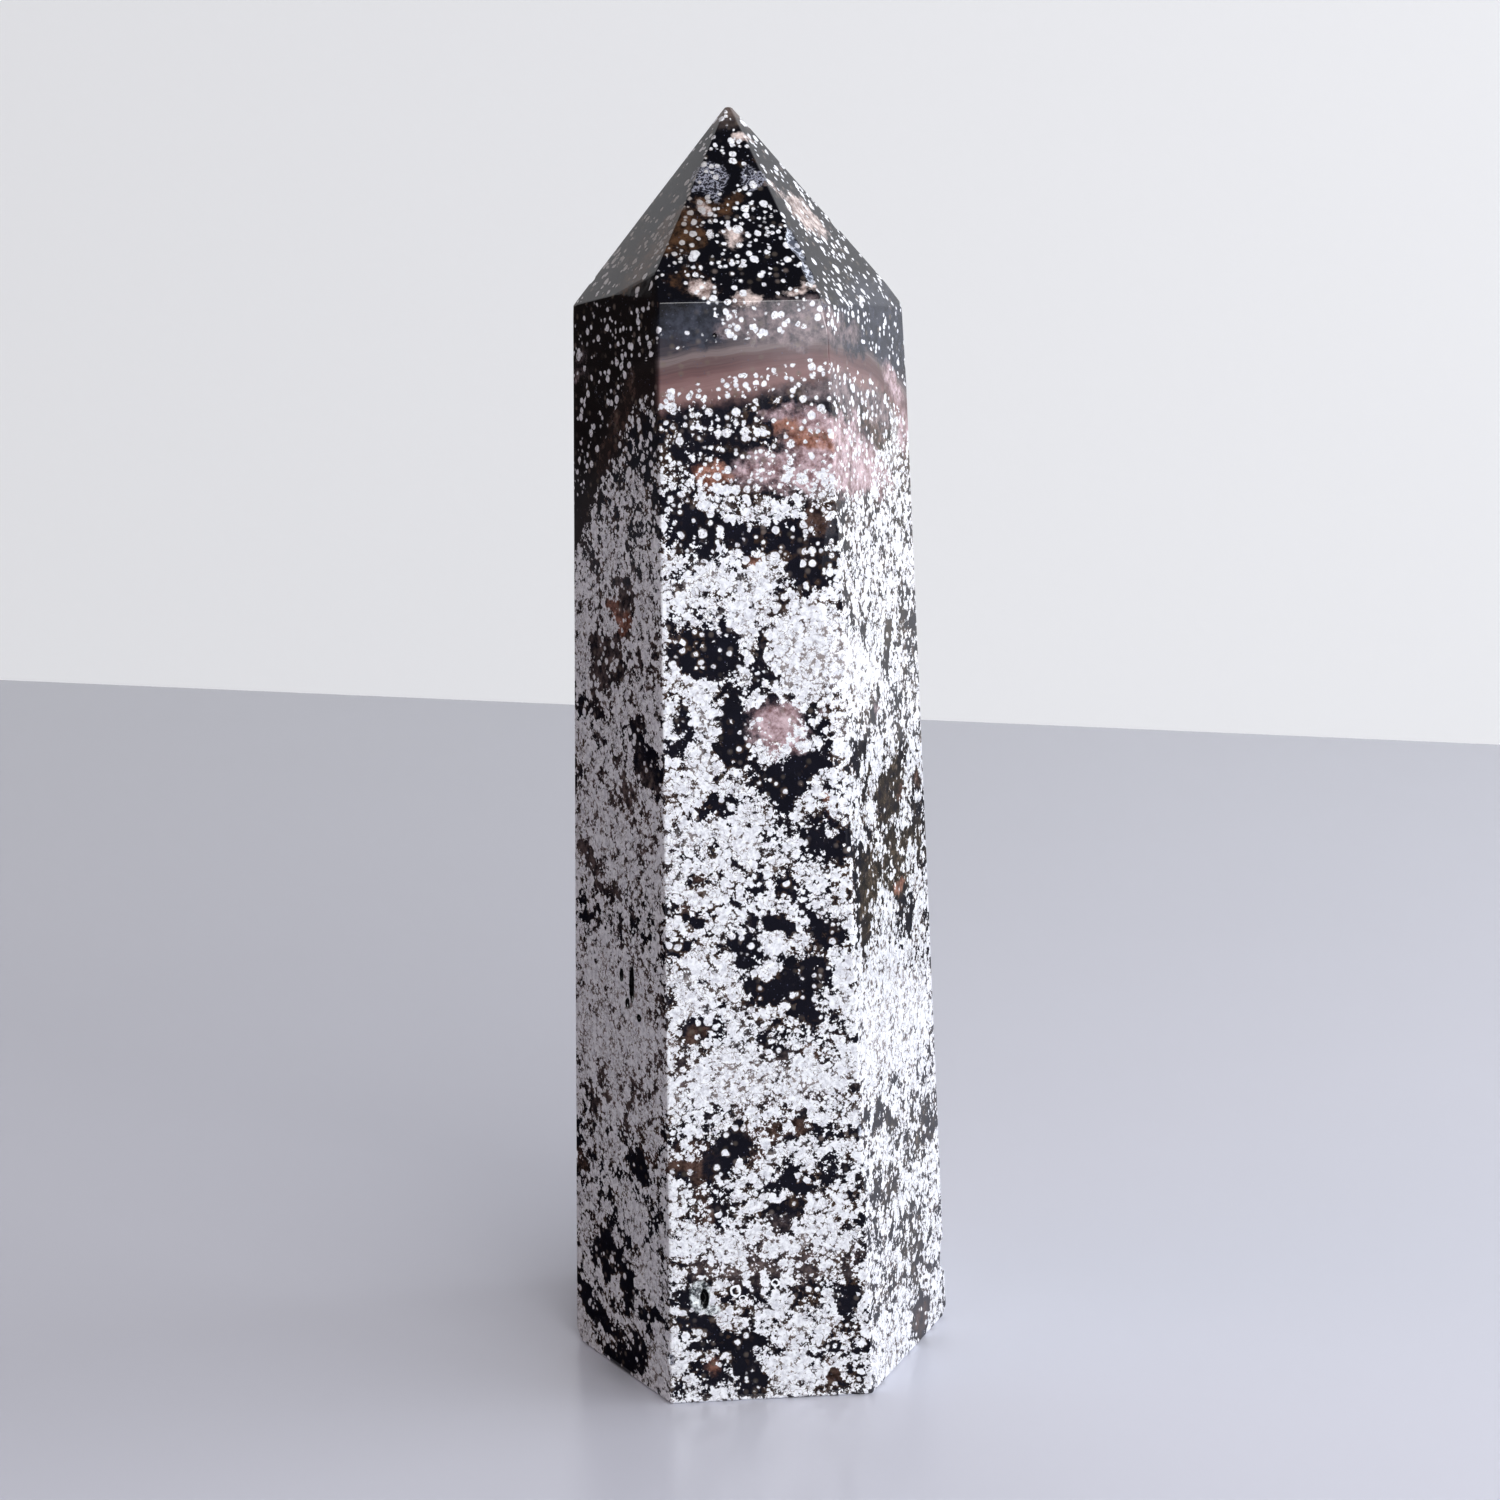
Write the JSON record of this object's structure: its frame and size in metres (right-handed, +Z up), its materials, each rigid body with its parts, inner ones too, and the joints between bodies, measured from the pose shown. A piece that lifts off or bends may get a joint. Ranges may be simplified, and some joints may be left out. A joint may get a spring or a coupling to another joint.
{
  "type": "polished stone point",
  "caption": "Upright polished jasper point: a tapering faceted tower with a sharp ground tip and a flat base that it stands on, in black stone with white speckles.",
  "frame": {"origin": "middle of the stone's box, on the plane of its flat base", "axes": "+Z up to the tip; -Y is the way the widest front face looks"},
  "size_m": [0.0378, 0.0332, 0.12],
  "materials": {
    "jasper": "high polish over a near-black and dark brown ground with dense white speckles, pink and brown patches"
  },
  "bodies": {
    "root": {"jasper_point": "jasper"}
  },
  "joints": []
}
